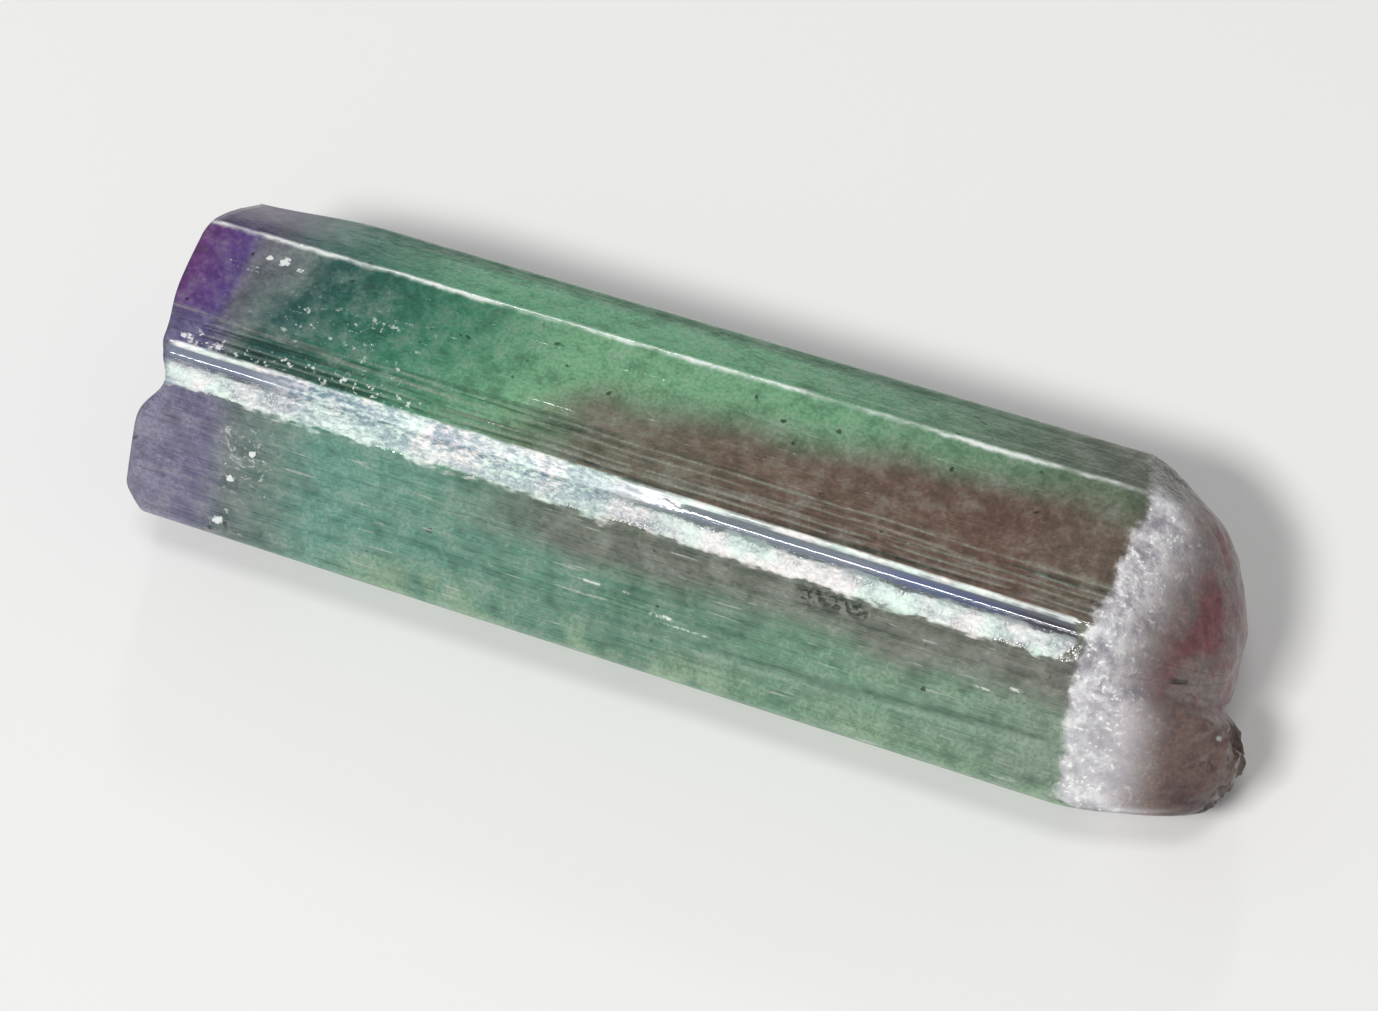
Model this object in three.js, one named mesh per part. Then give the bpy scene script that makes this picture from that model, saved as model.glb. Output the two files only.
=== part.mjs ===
// A tourmaline crystal, grown as one piece, lying on one of its long prism faces.
// Millimetres, +Z up. The crystal's long axis runs along X with the grown tip at +X, and the
// origin is at the middle of its box, on the surface that it rests on.
import * as THREE from 'three';

// ---- Driving dimensions -------------------------------------------------------------------

const SHAFT_LENGTH = 29.6; // from the broken left end to the shoulder where the tip begins
const CORNER_RADIUS = 0.42; // the prism edges are slightly rounded

// The prism faces in order, from the front underside, up the front, over the top and down the
// back. A tilt is the angle of the outward normal above the horizontal front direction (-Y), in
// degrees. The top widens a little towards the tip, so the crystal tapers to its left end.
const PRISM_FACES = [
  { name: 'front underside', tilt: -30, leftWidth: 3.8, rightWidth: 3.8 },
  { name: 'front', tilt: 30, leftWidth: 4.65, rightWidth: 4.75 },
  { name: 'worn band', tilt: 60, leftWidth: 1.25, rightWidth: 1.33 },
  { name: 'top', tilt: 90, leftWidth: 4.4, rightWidth: 4.78 },
  { name: 'upper back', tilt: 120, leftWidth: 2.43, rightWidth: 2.21 },
  { name: 'back', tilt: 165, leftWidth: 2.6, rightWidth: 2.6 },
];
const REAR_UNDERSIDE_TILT = 215; // this face and the resting face close the section
const RESTING_FACE_TILT = 270;
const BAND = PRISM_FACES.findIndex((face) => face.name === 'worn band');

// The worn band is a shallow channel with a rounded lip along its lower edge.
const CHANNEL_DEPTH = 0.16;
const CHANNEL_MIDDLE = 0.66; // across the band, from its lower edge (0) to its upper edge (1)
const CHANNEL_HALF_WIDTH = 0.3;

// The tip is a low dome over most of the section, and a longer beak below the band. Each rises by
// the formula in lobeHeight, reaching its height at `spread` inside the outline. A lean tilts a
// lobe: its surface rises or falls by `slope` for each millimetre beyond `from`.
const DOME = { height: 4.25, spread: 4.2, roundness: 0.75 };
const DOME_LEAN = { from: 1.5, slope: 0.07 }; // the dome falls away above the band
const BACK_LEAN = { from: 5.3, slope: 0.5 }; // and steeply over the back faces
const BEAK = { height: 5.0, spread: 2.6, roundness: 0.66 };
const BEAK_LEAN = { from: 1.8, slope: 0.48 }; // the beak reaches out further low down
const BEAK_BLEND = 0.5; // how far below the band the dome has turned into the beak
const LEAN_REACH = 1.0; // how far in from the outline a lean has its whole effect
const SHOULDER_DIP = { depth: 0.5, spread: 5.0, reach: 2.5 }; // the shoulder's dip at the band

// The left end is a nearly square break with a worn rim, rounder at the back and underneath.
const RIM_SPREAD = 1.5;
const RIM_ROUNDING = { front: 0.1, back: 1.2, underside: 1.2 };
const BACK_STARTS = [4.5, 7.0]; // above the band, where the rim's back rounding begins and is whole
const UNDERSIDE_STARTS = [3.2, 4.7]; // and below the band, the same for the underside's

// The band runs out over the broken end in a notch, with a shallow hollow beside it.
const END_NOTCH = { depth: 0.7, halfWidth: 0.75, reach: 2.5 };
const END_HOLLOW = { depth: 0.3, aboveBand: 1.4, halfWidth: 1.0 };

// How finely the surface is divided.
const ARC_STEPS = 3;
const FACE_STEP = 0.9;
const BAND_STEPS = 4;
const SHAFT_RINGS = 10;
const CAP_RINGS = [0.985, 0.95, 0.9, 0.84, 0.77, 0.69, 0.6, 0.5, 0.4, 0.3, 0.2, 0.1];
const SLOPE_SOFTNESS = 5; // how softly the tip's slopes run into each other
const LEAST_DEPTH = 1e-4; // keeps a point on the outline clear of a division by zero

// ---- The prism section, as [y, z] points --------------------------------------------------

const radians = (degrees) => THREE.MathUtils.degToRad(degrees);
const mix = THREE.MathUtils.lerp;

/** The outward normal of a face, in the section's plane. */
const normalOf = (tilt) => [-Math.cos(radians(tilt)), Math.sin(radians(tilt))];

/** The direction along a face's edge of the section, going up the front and over the top. */
const alongOf = (tilt) => [Math.sin(radians(tilt)), Math.cos(radians(tilt))];

/** All faces with their widths at one place along the shaft, 0 at its left end, 1 at the tip. */
function facesAt(place) {
  const faces = PRISM_FACES.map(({ tilt, leftWidth, rightWidth }) => ({
    tilt,
    width: mix(leftWidth, rightWidth, place),
  }));
  const sum = (axis) => faces.reduce((total, f) => total + alongOf(f.tilt)[axis] * f.width, 0);
  const rearWidth = -sum(1) / alongOf(REAR_UNDERSIDE_TILT)[1];
  faces.push({ tilt: REAR_UNDERSIDE_TILT, width: rearWidth });
  faces.push({ tilt: RESTING_FACE_TILT, width: sum(0) });
  return faces;
}

/** The sharp corners of the section, each face running from its own corner to the next. */
function cornersOf(faces) {
  const corners = [];
  let [y, z] = [0, 0];
  for (const { tilt, width } of faces) {
    corners.push([y, z]);
    const [alongY, alongZ] = alongOf(tilt);
    y += alongY * width;
    z += alongZ * width;
  }
  return corners;
}

/** How far the channel is cut into the band, at `across` from its lower edge to its upper. */
function channelDepth(across) {
  const offset = (across - CHANNEL_MIDDLE) / CHANNEL_HALF_WIDTH;
  return CHANNEL_DEPTH * Math.max(0, 1 - offset * offset);
}

/** Points along one face between its rounded corners. The worn band dips into its channel. */
function facePoints(corner, face, trimStart, trimEnd, isBand) {
  const [alongY, alongZ] = alongOf(face.tilt);
  const [outY, outZ] = normalOf(face.tilt);
  const flat = face.width - trimStart - trimEnd;
  const steps = isBand ? BAND_STEPS : stepsOn(face.tilt);
  const points = [];
  for (let i = 1; i < steps; i += 1) {
    const reach = trimStart + (flat * i) / steps;
    const sunk = isBand ? channelDepth(reach / face.width) : 0;
    points.push([
      corner[0] + alongY * reach - outY * sunk,
      corner[1] + alongZ * reach - outZ * sunk,
    ]);
  }
  return points;
}

/** The same number of steps at every place along the shaft, so that the rings match up. */
function stepsOn(tilt) {
  const middle = facesAt(0.5).find((face) => face.tilt === tilt);
  return Math.max(1, Math.round(middle.width / FACE_STEP));
}

/** The closed outline of the section, with its corners rounded. */
function outlineAt(place) {
  const faces = facesAt(place);
  const corners = cornersOf(faces);
  const points = [];
  faces.forEach((face, i) => {
    const before = faces[(i + faces.length - 1) % faces.length];
    const after = faces[(i + 1) % faces.length];
    const turnIn = turnBetween(before.tilt, face.tilt);
    const turnOut = turnBetween(face.tilt, after.tilt);
    const trimIn = CORNER_RADIUS * Math.tan(turnIn / 2);
    const trimOut = CORNER_RADIUS * Math.tan(turnOut / 2);
    const reach = CORNER_RADIUS / Math.cos(turnIn / 2);
    const [inY, inZ] = normalOf(face.tilt - THREE.MathUtils.radToDeg(turnIn) / 2);
    const centre = [corners[i][0] - inY * reach, corners[i][1] - inZ * reach];
    for (let step = 0; step <= ARC_STEPS; step += 1) {
      const back = THREE.MathUtils.radToDeg(turnIn) * (1 - step / ARC_STEPS);
      const [outY, outZ] = normalOf(face.tilt - back);
      points.push([centre[0] + outY * CORNER_RADIUS, centre[1] + outZ * CORNER_RADIUS]);
    }
    points.push(...facePoints(corners[i], face, trimIn, trimOut, i === BAND));
  });
  return points;
}

/** The angle that the section turns through from one face to the next, in radians. */
function turnBetween(tilt, nextTilt) {
  return radians((nextTilt - tilt + 360) % 360);
}

/** The middle of the section's box. */
function middleOf(points) {
  const box = new THREE.Box2().setFromPoints(points.map(([y, z]) => new THREE.Vector2(y, z)));
  const middle = box.getCenter(new THREE.Vector2());
  return [middle.x, middle.y];
}

// ---- The two ends -------------------------------------------------------------------------

/** How far a point lies inside the section's outline, with the slopes softly joined. */
function insetOf([y, z], place) {
  const faces = facesAt(place);
  const corners = cornersOf(faces);
  let sum = 0;
  faces.forEach(({ tilt }, i) => {
    const [outY, outZ] = normalOf(tilt);
    const depth = (corners[i][0] - y) * outY + (corners[i][1] - z) * outZ;
    sum += Math.max(depth, LEAST_DEPTH) ** -SLOPE_SOFTNESS;
  });
  return sum ** (-1 / SLOPE_SOFTNESS);
}

/** How far a point lies below the worn band, measured square to the band's normal. */
function belowBand([y, z], place) {
  const corner = cornersOf(facesAt(place))[BAND];
  const [alongY, alongZ] = alongOf(PRISM_FACES[BAND].tilt);
  return (corner[0] - y) * alongY + (corner[1] - z) * alongZ;
}

const bell = (value, halfWidth) => Math.exp(-((value / halfWidth) ** 2));
const { smoothstep } = THREE.MathUtils;

function lobeHeight({ height, spread, roundness }, inset) {
  const remaining = Math.max(0, 1 - inset / spread);
  return height * (1 - remaining * remaining) ** roundness;
}

/** How much a lean has added at `distance` from the band. */
const leanAt = ({ from, slope }, distance) => slope * Math.max(0, distance - from);

/** The tip's surface: its X at a point of the section. */
function tipX(point) {
  const inset = insetOf(point, 1);
  const below = belowBand(point, 1);
  const leaning = smoothstep(inset, 0, LEAN_REACH);
  const beakLean = BEAK_LEAN.slope * (below - BEAK_LEAN.from) * leaning;
  const inBeak = smoothstep(below, 0, BEAK_BLEND);
  const rise = mix(lobeHeight(DOME, inset), lobeHeight(BEAK, inset) + beakLean, inBeak);
  const nearBand = 1 - Math.min(1, Math.abs(below) / SHOULDER_DIP.spread);
  const dip = SHOULDER_DIP.depth * nearBand * (1 - smoothstep(inset, 0, SHOULDER_DIP.reach));
  const fall = leanAt(DOME_LEAN, -below) * leaning + leanAt(BACK_LEAN, -below);
  return SHAFT_LENGTH + rise - dip - fall;
}

/** The broken left end's surface: its X at a point of the section. */
function brokenX(point) {
  const inset = insetOf(point, 0);
  const below = belowBand(point, 0);
  const { front, back, underside } = RIM_ROUNDING;
  const rounding =
    front +
    (back - front) * smoothstep(-below, ...BACK_STARTS) +
    (underside - front) * smoothstep(below, ...UNDERSIDE_STARTS);
  const remaining = Math.max(0, 1 - inset / RIM_SPREAD);
  const notch =
    END_NOTCH.depth * bell(below, END_NOTCH.halfWidth) +
    END_HOLLOW.depth * bell(below + END_HOLLOW.aboveBand, END_HOLLOW.halfWidth);
  const fading = 1 - smoothstep(inset, 0, END_NOTCH.reach);
  return rounding * remaining * remaining + notch * fading;
}

// ---- The crystal --------------------------------------------------------------------------

/** One ring of points at `shrink` times the section's size, at the X that `xOf` gives. */
function ring(shrink, endPlace, xOf) {
  const endOutline = outlineAt(endPlace);
  const endMiddle = middleOf(endOutline);
  return endOutline.map((rim, i) => {
    const onEnd = rim.map((value, axis) => mix(endMiddle[axis], value, shrink));
    const x = xOf(onEnd);
    const outline = outlineAt(x / SHAFT_LENGTH);
    const middle = middleOf(outline);
    const [y, z] = outline[i].map((value, axis) => mix(middle[axis], value, shrink));
    return [x, y, z];
  });
}

/** Rings along the shaft, between the rims of its two ends. */
function shaftRings(leftRim, rightRim) {
  const rings = [];
  for (let k = 1; k < SHAFT_RINGS; k += 1) {
    const fraction = k / SHAFT_RINGS;
    rings.push(leftRim.map((left, i) => {
      const x = mix(left[0], rightRim[i][0], fraction);
      const [y, z] = outlineAt(x / SHAFT_LENGTH)[i];
      return [x, y, z];
    }));
  }
  return rings;
}

/** A closed skin over a row of rings, with a point in the middle of each end. */
function skin(rings) {
  const count = rings[0].length;
  const positions = rings.flat(2);
  const index = [];
  for (let r = 0; r + 1 < rings.length; r += 1) {
    for (let i = 0; i < count; i += 1) {
      const next = (i + 1) % count;
      const [a, b] = [r * count + i, r * count + next];
      index.push(a, a + count, b, b, a + count, b + count);
    }
  }
  for (const end of [0, rings.length - 1]) {
    const middle = positions.length / 3;
    const sum = rings[end].reduce((total, p) => total.map((v, axis) => v + p[axis]), [0, 0, 0]);
    positions.push(...sum.map((value) => value / count));
    for (let i = 0; i < count; i += 1) {
      const [a, b] = [end * count + i, end * count + ((i + 1) % count)];
      index.push(middle, ...(end === 0 ? [a, b] : [b, a]));
    }
  }
  const geometry = new THREE.BufferGeometry();
  geometry.setAttribute('position', new THREE.Float32BufferAttribute(positions, 3));
  geometry.setIndex(index);
  return geometry;
}

function crystalGeometry() {
  const leftRim = ring(1, 0, brokenX);
  const rightRim = ring(1, 1, tipX);
  const geometry = skin([
    ...CAP_RINGS.toReversed().map((shrink) => ring(shrink, 0, brokenX)),
    leftRim,
    ...shaftRings(leftRim, rightRim),
    rightRim,
    ...CAP_RINGS.map((shrink) => ring(shrink, 1, tipX)),
  ]);
  geometry.computeBoundingBox();
  const centre = geometry.boundingBox.getCenter(new THREE.Vector3());
  geometry.translate(-centre.x, -centre.y, -geometry.boundingBox.min.z);
  geometry.computeVertexNormals();
  return geometry;
}

const crystal = new THREE.Mesh(
  crystalGeometry(),
  new THREE.MeshStandardMaterial({ color: '#5f8a70', roughness: 0.22, metalness: 0 }),
);
crystal.name = 'tourmaline_crystal';

const part = new THREE.Group();
part.add(crystal);

export default part;
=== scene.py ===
"""A loose tourmaline crystal on a pale table.

The crystal is one closed mesh, made ring by ring along its length from the same section and the
same end shapes as the CAD solid, with the growth striations, the worn channel, the frosted tip and
the broken end added. Fine growth tubes, a healed crack and a few dark grains are sealed inside it.
"""
import math
import random

import bmesh
import bpy
import numpy as np
from mathutils import Matrix, Vector, noise


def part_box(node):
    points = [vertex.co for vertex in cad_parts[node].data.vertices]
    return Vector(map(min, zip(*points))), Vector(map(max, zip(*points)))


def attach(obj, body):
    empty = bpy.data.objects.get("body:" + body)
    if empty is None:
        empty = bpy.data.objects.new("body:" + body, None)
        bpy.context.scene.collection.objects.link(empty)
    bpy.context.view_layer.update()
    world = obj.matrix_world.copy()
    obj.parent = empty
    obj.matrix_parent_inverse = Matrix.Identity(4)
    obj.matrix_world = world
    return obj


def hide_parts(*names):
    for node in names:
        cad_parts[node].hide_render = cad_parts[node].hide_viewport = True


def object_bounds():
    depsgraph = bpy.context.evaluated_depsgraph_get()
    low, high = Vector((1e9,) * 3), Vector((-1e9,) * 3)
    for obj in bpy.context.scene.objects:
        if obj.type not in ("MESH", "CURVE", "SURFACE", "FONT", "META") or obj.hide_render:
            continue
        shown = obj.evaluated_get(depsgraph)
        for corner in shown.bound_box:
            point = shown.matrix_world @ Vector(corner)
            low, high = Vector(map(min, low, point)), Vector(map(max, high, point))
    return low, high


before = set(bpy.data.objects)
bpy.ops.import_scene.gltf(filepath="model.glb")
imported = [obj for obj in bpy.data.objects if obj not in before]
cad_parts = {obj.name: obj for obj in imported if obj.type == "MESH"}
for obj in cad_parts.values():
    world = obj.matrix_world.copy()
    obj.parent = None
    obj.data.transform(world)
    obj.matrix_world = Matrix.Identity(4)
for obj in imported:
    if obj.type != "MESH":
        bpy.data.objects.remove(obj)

CAD_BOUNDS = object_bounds()
CRYSTAL_NODE = "tourmaline_crystal"
MM = 0.001

# ---- The crystal's dimensions, in millimetres and degrees ----------

SHAFT_LENGTH = 29.6
CORNER_RADIUS = 0.42

# Each prism face: its tilt (the outward normal's angle above -Y), its width at the left end and its
# width at the tip. They run from the front underside, up the front, over the top and down the back.
FACES = {
    "front underside": (-30, 3.8, 3.8),
    "front": (30, 4.65, 4.75),
    "band": (60, 1.25, 1.33),
    "top": (90, 4.4, 4.78),
    "upper back": (120, 2.43, 2.21),
    "back": (165, 2.6, 2.6),
}
REAR_UNDERSIDE_TILT = 215
RESTING_FACE_TILT = 270
FACE_NAMES = [*FACES, "rear underside", "resting face"]
BAND = FACE_NAMES.index("band")

# The tip is a dome over most of the section, and a longer beak below the band. A lean tilts a lobe:
# its surface rises or falls by its slope for each millimetre beyond where it starts. The leans of
# the beak and the dome ease in over LEAN_REACH from the outline. The beak's chips and its colour
# begin in the stretch BEAK_SIDE below the band.
DOME = {"height": 4.25, "spread": 4.2, "roundness": 0.75}
DOME_LEAN = {"from": 1.5, "slope": 0.07}
BACK_LEAN = {"from": 5.3, "slope": 0.5}
BEAK = {"height": 5.0, "spread": 2.6, "roundness": 0.66}
BEAK_LEAN = {"from": 1.8, "slope": 0.48}
BEAK_BLEND = 0.5
BEAK_SIDE = (0.1, 0.5)
LEAN_REACH = 1.0
SHOULDER_DIP = {"depth": 0.5, "spread": 5.0, "reach": 2.5}
RAGGED_SHOULDER = {"height": 0.14, "reach": 0.8, "waves": 1.3}

# The broken left end has a worn rim, a notch where the band runs out and a hollow above it. The
# rim's rounding at the back and underneath begins and is whole at these distances from the band.
RIM_SPREAD = 1.5
RIM_ROUNDING = {"front": 0.1, "back": 1.2, "underside": 1.2}
BACK_STARTS = (4.5, 7.0)
UNDERSIDE_STARTS = (3.2, 4.7)
END_NOTCH = {"depth": 0.7, "half_width": 0.75, "reach": 2.5}
END_HOLLOW = {"depth": 0.3, "above_band": 1.4, "half_width": 1.0}

# The relief on the faces. "around" is measured round the outline from the band's middle, and a
# pair is a stretch from the left end over which something fades in or out.
GROOVE = {"depth": 0.12, "around": 0.27, "half_width": 0.2}
LIP_NICKS = {"depth": 0.06, "around": -0.66, "half_width": 0.16}
CHANNEL_WEAR = {"height": 0.02, "half_width": 0.5}
SHALLOW_STRETCH = {"starts": (4, 8), "ends": (16, 20), "share": 0.85}
STRONG_LINES = {"around": 1.5, "half_width": 0.7, "starts": (6, 12)}
WORN_BACK_EDGE = {"depth": 0.4, "around": 7.9, "half_width": 1.2, "reach": 5}

# Growth lines: their height, how many waves there are to a millimetre around and along, and the
# shift that keeps one kind of line from following another.
RIBS = {"height": 0.02, "around": 0.9, "along": 0.02, "shift": 0}
FINE_LINES = {"height": 0.009, "around": 4.5, "along": 0.06, "shift": 31}
HAIR_LINES = {"height": 0.005, "around": 11.0, "along": 0.12, "shift": 5}

# How finely the mesh is divided. The rings of each end crowd towards its rim by a power.
OUTLINE_STEP = 0.074
ARC_STEP_DEGREES = 7.5
SHAFT_RINGS = 130
TIP_RINGS = 46
TIP_CROWDING = 1.25
BREAK_RINGS = 24
BREAK_CROWDING = 0.8

# How softly an end's slopes join, and a depth that keeps its rim clear of a division by zero.
SLOPE_SOFTNESS = 5
LEAST_DEPTH = 1e-4


# ---- Small helpers -------------------------------------------------

def add_object(name, data):
    thing = bpy.data.objects.new(name, data)
    bpy.context.scene.collection.objects.link(thing)
    return thing


def mix(low, high, share):
    return low + (high - low) * share


def smoothstep(value, low, high):
    share = np.clip((value - low) / (high - low), 0, 1)
    return share * share * (3 - 2 * share)


def bell(value, half_width):
    return np.exp(-((value / half_width) ** 2))


def wave(*coordinates):
    """Smooth noise from -1 to 1 at each point of some equal arrays of coordinates."""
    grids = np.broadcast_arrays(*coordinates)
    points = np.stack([*grids, np.zeros_like(grids[0])][:3], axis=-1)
    values = [noise.noise(Vector(point)) for point in points.reshape(-1, 3)]
    return np.array(values).reshape(points.shape[:-1])


def chipped(x, y, z, size):
    """Flat chips: each cell of about size millimetres has its own depth, 0 to 1, and its own tilt."""
    points = np.stack(np.broadcast_arrays(x, y, z), axis=-1) / size
    depths = []
    for point in points.reshape(-1, 3):
        centre = noise.voronoi(Vector(point))[1][0]
        chance = noise.cell_vector(centre * 9.7)
        tilt = noise.cell_vector(centre * 5.3) - Vector((0.5, 0.5, 0.5))
        depths.append(chance.x + tilt.dot(Vector(point) - centre))
    return np.array(depths).reshape(points.shape[:-1])


# ---- The prism section, as [y, z] points ---------------------------

def normal_of(tilt):
    return np.array([-math.cos(math.radians(tilt)), math.sin(math.radians(tilt))])


def along_of(tilt):
    return np.array([math.sin(math.radians(tilt)), math.cos(math.radians(tilt))])


def faces_at(end):
    """All eight tilts and widths at the left end (0) or at the tip (1)."""
    tilts = [face[0] for face in FACES.values()]
    widths = [face[1 + end] for face in FACES.values()]
    reach = sum(along_of(tilt) * width for tilt, width in zip(tilts, widths))
    rear = -reach[1] / along_of(REAR_UNDERSIDE_TILT)[1]
    reach = reach + along_of(REAR_UNDERSIDE_TILT) * rear
    return [*tilts, REAR_UNDERSIDE_TILT, RESTING_FACE_TILT], [*widths, rear, reach[0]]


def corners_at(end):
    """The section's sharp corners. Each face runs from its own corner to the next one."""
    tilts, widths = faces_at(end)
    steps = [along_of(tilt) * width for tilt, width in zip(tilts, widths)]
    return np.array([np.zeros(2), *np.cumsum(steps, axis=0)[:-1]])


class Outline:
    """The rounded section: where each of its points is, how it faces, and how far round it lies."""

    def __init__(self):
        tilts, widths = faces_at(1)
        count = len(tilts)
        ends = [[], []]
        facing, face, across = [], [], []
        for i, tilt in enumerate(tilts):
            turn_in = (tilt - tilts[i - 1]) % 360
            turn_out = (tilts[(i + 1) % count] - tilt) % 360
            arc_steps = round(turn_in / ARC_STEP_DEGREES)
            flat_steps = max(2, round(widths[i] / OUTLINE_STEP))
            turns = [tilt - turn_in * (1 - k / arc_steps) for k in range(arc_steps + 1)]
            shares = [k / flat_steps for k in range(1, flat_steps)]
            facing += [*turns, *[tilt] * len(shares)]
            face += [i] * (len(turns) + len(shares))
            across += [0.0] * len(turns) + shares
            for end in (0, 1):
                ends[end] += self._points(end, i, turn_in, turn_out, turns, shares)
        self.ends = [np.array(points) for points in ends]
        self.normals = np.array([normal_of(tilt) for tilt in facing])
        self.face = np.array(face)
        self.across = np.array(across)
        self.around = self._around()

    @staticmethod
    def _points(end, i, turn_in, turn_out, turns, shares):
        """One face's points at one end of the shaft: its first rounded corner, then its flat."""
        tilts, widths = faces_at(end)
        corner = corners_at(end)[i]
        reach = CORNER_RADIUS / math.cos(math.radians(turn_in / 2))
        centre = corner - normal_of(tilts[i] - turn_in / 2) * reach
        trim_in = CORNER_RADIUS * math.tan(math.radians(turn_in / 2))
        trim_out = CORNER_RADIUS * math.tan(math.radians(turn_out / 2))
        flat = widths[i] - trim_in - trim_out
        arc = [centre + normal_of(tilt) * CORNER_RADIUS for tilt in turns]
        line = [corner + along_of(tilts[i]) * (trim_in + flat * share) for share in shares]
        return arc + line

    def _around(self):
        """Millimetres round the outline from the middle of the band, up over the top positive."""
        points = self.ends[1]
        steps = np.linalg.norm(points - np.roll(points, 1, axis=0), axis=1)
        distance = np.cumsum(steps)
        middle = distance[(self.face == BAND) & (self.across > 0)].mean()
        total = distance[-1]
        return (distance - middle + total / 2) % total - total / 2

    def middle_of_corner(self, face_name):
        """How far round the rounded corner before a face lies."""
        corner = (self.face == FACE_NAMES.index(face_name)) & (self.across == 0)
        return self.around[corner].mean()

    def at(self, place):
        """The outline where place is 0 at the left end and 1 at the shoulder, one per point."""
        return mix(self.ends[0], self.ends[1], np.asarray(place)[..., None])


OUTLINE = Outline()
RIDGE = OUTLINE.middle_of_corner("upper back")


# ---- The two ends --------------------------------------------------

def inset_of(points, end):
    """How far points lie inside the section's outline, with the slopes softly joined."""
    normals = np.array([normal_of(tilt) for tilt in faces_at(end)[0]])
    depths = ((corners_at(end) - points[..., None, :]) * normals).sum(axis=-1)
    return (np.maximum(depths, LEAST_DEPTH) ** -SLOPE_SOFTNESS).sum(axis=-1) ** (-1 / SLOPE_SOFTNESS)


def below_band(points, end):
    """How far points lie below the band's lower edge, measured square to the band's normal."""
    return ((corners_at(end)[BAND] - points) * along_of(FACES["band"][0])).sum(axis=-1)


def lobe_height(lobe, inset):
    remaining = np.maximum(0, 1 - inset / lobe["spread"])
    return lobe["height"] * (1 - remaining * remaining) ** lobe["roundness"]


def tip_x(points):
    """The grown tip: X at points of the section."""
    inset = inset_of(points, 1)
    below = below_band(points, 1)
    beak = smoothstep(below, 0, BEAK_BLEND)
    leaning = smoothstep(inset, 0, LEAN_REACH)
    beak_lean = BEAK_LEAN["slope"] * (below - BEAK_LEAN["from"]) * leaning
    rise = mix(lobe_height(DOME, inset), lobe_height(BEAK, inset) + beak_lean, beak)
    near_band = 1 - np.minimum(1, np.abs(below) / SHOULDER_DIP["spread"])
    dip = SHOULDER_DIP["depth"] * near_band * (1 - smoothstep(inset, 0, SHOULDER_DIP["reach"]))
    dome_lean = DOME_LEAN["slope"] * np.maximum(0, -below - DOME_LEAN["from"]) * leaning
    back_lean = BACK_LEAN["slope"] * np.maximum(0, -below - BACK_LEAN["from"])
    waves = points * RAGGED_SHOULDER["waves"]
    ragged = RAGGED_SHOULDER["height"] * wave(waves[..., 0], waves[..., 1])
    ragged = ragged * (1 - smoothstep(inset, 0, RAGGED_SHOULDER["reach"]))
    return SHAFT_LENGTH + rise - dip - dome_lean - back_lean + ragged


def broken_x(points):
    """The broken left end: X at points of the section."""
    inset = inset_of(points, 0)
    below = below_band(points, 0)
    front, back, underside = RIM_ROUNDING.values()
    rounding = front + (back - front) * smoothstep(-below, *BACK_STARTS)
    rounding = rounding + (underside - front) * smoothstep(below, *UNDERSIDE_STARTS)
    remaining = np.maximum(0, 1 - inset / RIM_SPREAD)
    notch = END_NOTCH["depth"] * bell(below, END_NOTCH["half_width"])
    notch = notch + END_HOLLOW["depth"] * bell(below + END_HOLLOW["above_band"], END_HOLLOW["half_width"])
    notch = notch * (1 - smoothstep(inset, 0, END_NOTCH["reach"]))
    return rounding * remaining * remaining + notch


# ---- Relief on the prism faces -------------------------------------

def band_relief(x):
    """The worn channel: a groove under the upper edge, and a broad lip with a ragged lower edge."""
    around = OUTLINE.around
    groove = -GROOVE["depth"] * bell(around - GROOVE["around"], GROOVE["half_width"])
    nicks = -LIP_NICKS["depth"] * np.maximum(0, wave(x * 1.6, around * 2.0 + 7))
    nicks = nicks * bell(around - LIP_NICKS["around"], LIP_NICKS["half_width"])
    worn = CHANNEL_WEAR["height"] * wave(x * 2.2, around * 4.0) * bell(around, CHANNEL_WEAR["half_width"])
    shallow = smoothstep(x, *SHALLOW_STRETCH["starts"]) * (1 - smoothstep(x, *SHALLOW_STRETCH["ends"]))
    return groove * (1 - SHALLOW_STRETCH["share"] * shallow) + nicks + worn * (0.2 + 0.8 * shallow)


def growth_lines(x, kind):
    waves = wave(OUTLINE.around * kind["around"] + kind["shift"], x * kind["along"])
    return kind["height"] * waves


def striations(x):
    """Growth lines along the prism: broad low ribs, and finer ones on the front faces."""
    around = OUTLINE.around
    beside_band = bell(around - STRONG_LINES["around"], STRONG_LINES["half_width"])
    beside_band = beside_band * smoothstep(x, *STRONG_LINES["starts"])
    strength = 0.4 + 1.4 * beside_band + 0.6 * (around < -1)
    smooth_edges = (1 - bell(around - RIDGE, 0.5)) * (1 - bell(around, 0.6))
    fine = growth_lines(x, FINE_LINES) + growth_lines(x, HAIR_LINES)
    return growth_lines(x, RIBS) + fine * strength * smooth_edges


def worn_edges(x):
    """The edge between the two back faces is rubbed away at the left end."""
    edge = bell(OUTLINE.around - WORN_BACK_EDGE["around"], WORN_BACK_EDGE["half_width"])
    return -WORN_BACK_EDGE["depth"] * edge * (1 - smoothstep(x, 0, WORN_BACK_EDGE["reach"]))


def resting_share():
    """1 on the face that the crystal lies on, which stays flat."""
    facing_down = OUTLINE.normals @ normal_of(RESTING_FACE_TILT)
    return smoothstep(facing_down, 0.9, 0.99)


def relief(x):
    """How far each outline point stands out of the plain prism, at the X of each."""
    return (striations(x) + band_relief(x) + worn_edges(x)) * (1 - resting_share())


# ---- The crystal's mesh --------------------------------------------

def middle_at(place):
    """The middle of the section's box, on which the end rings close."""
    middles = [(points.min(axis=0) + points.max(axis=0)) / 2 for points in OUTLINE.ends]
    return mix(middles[0], middles[1], np.asarray(place)[..., None])


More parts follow.
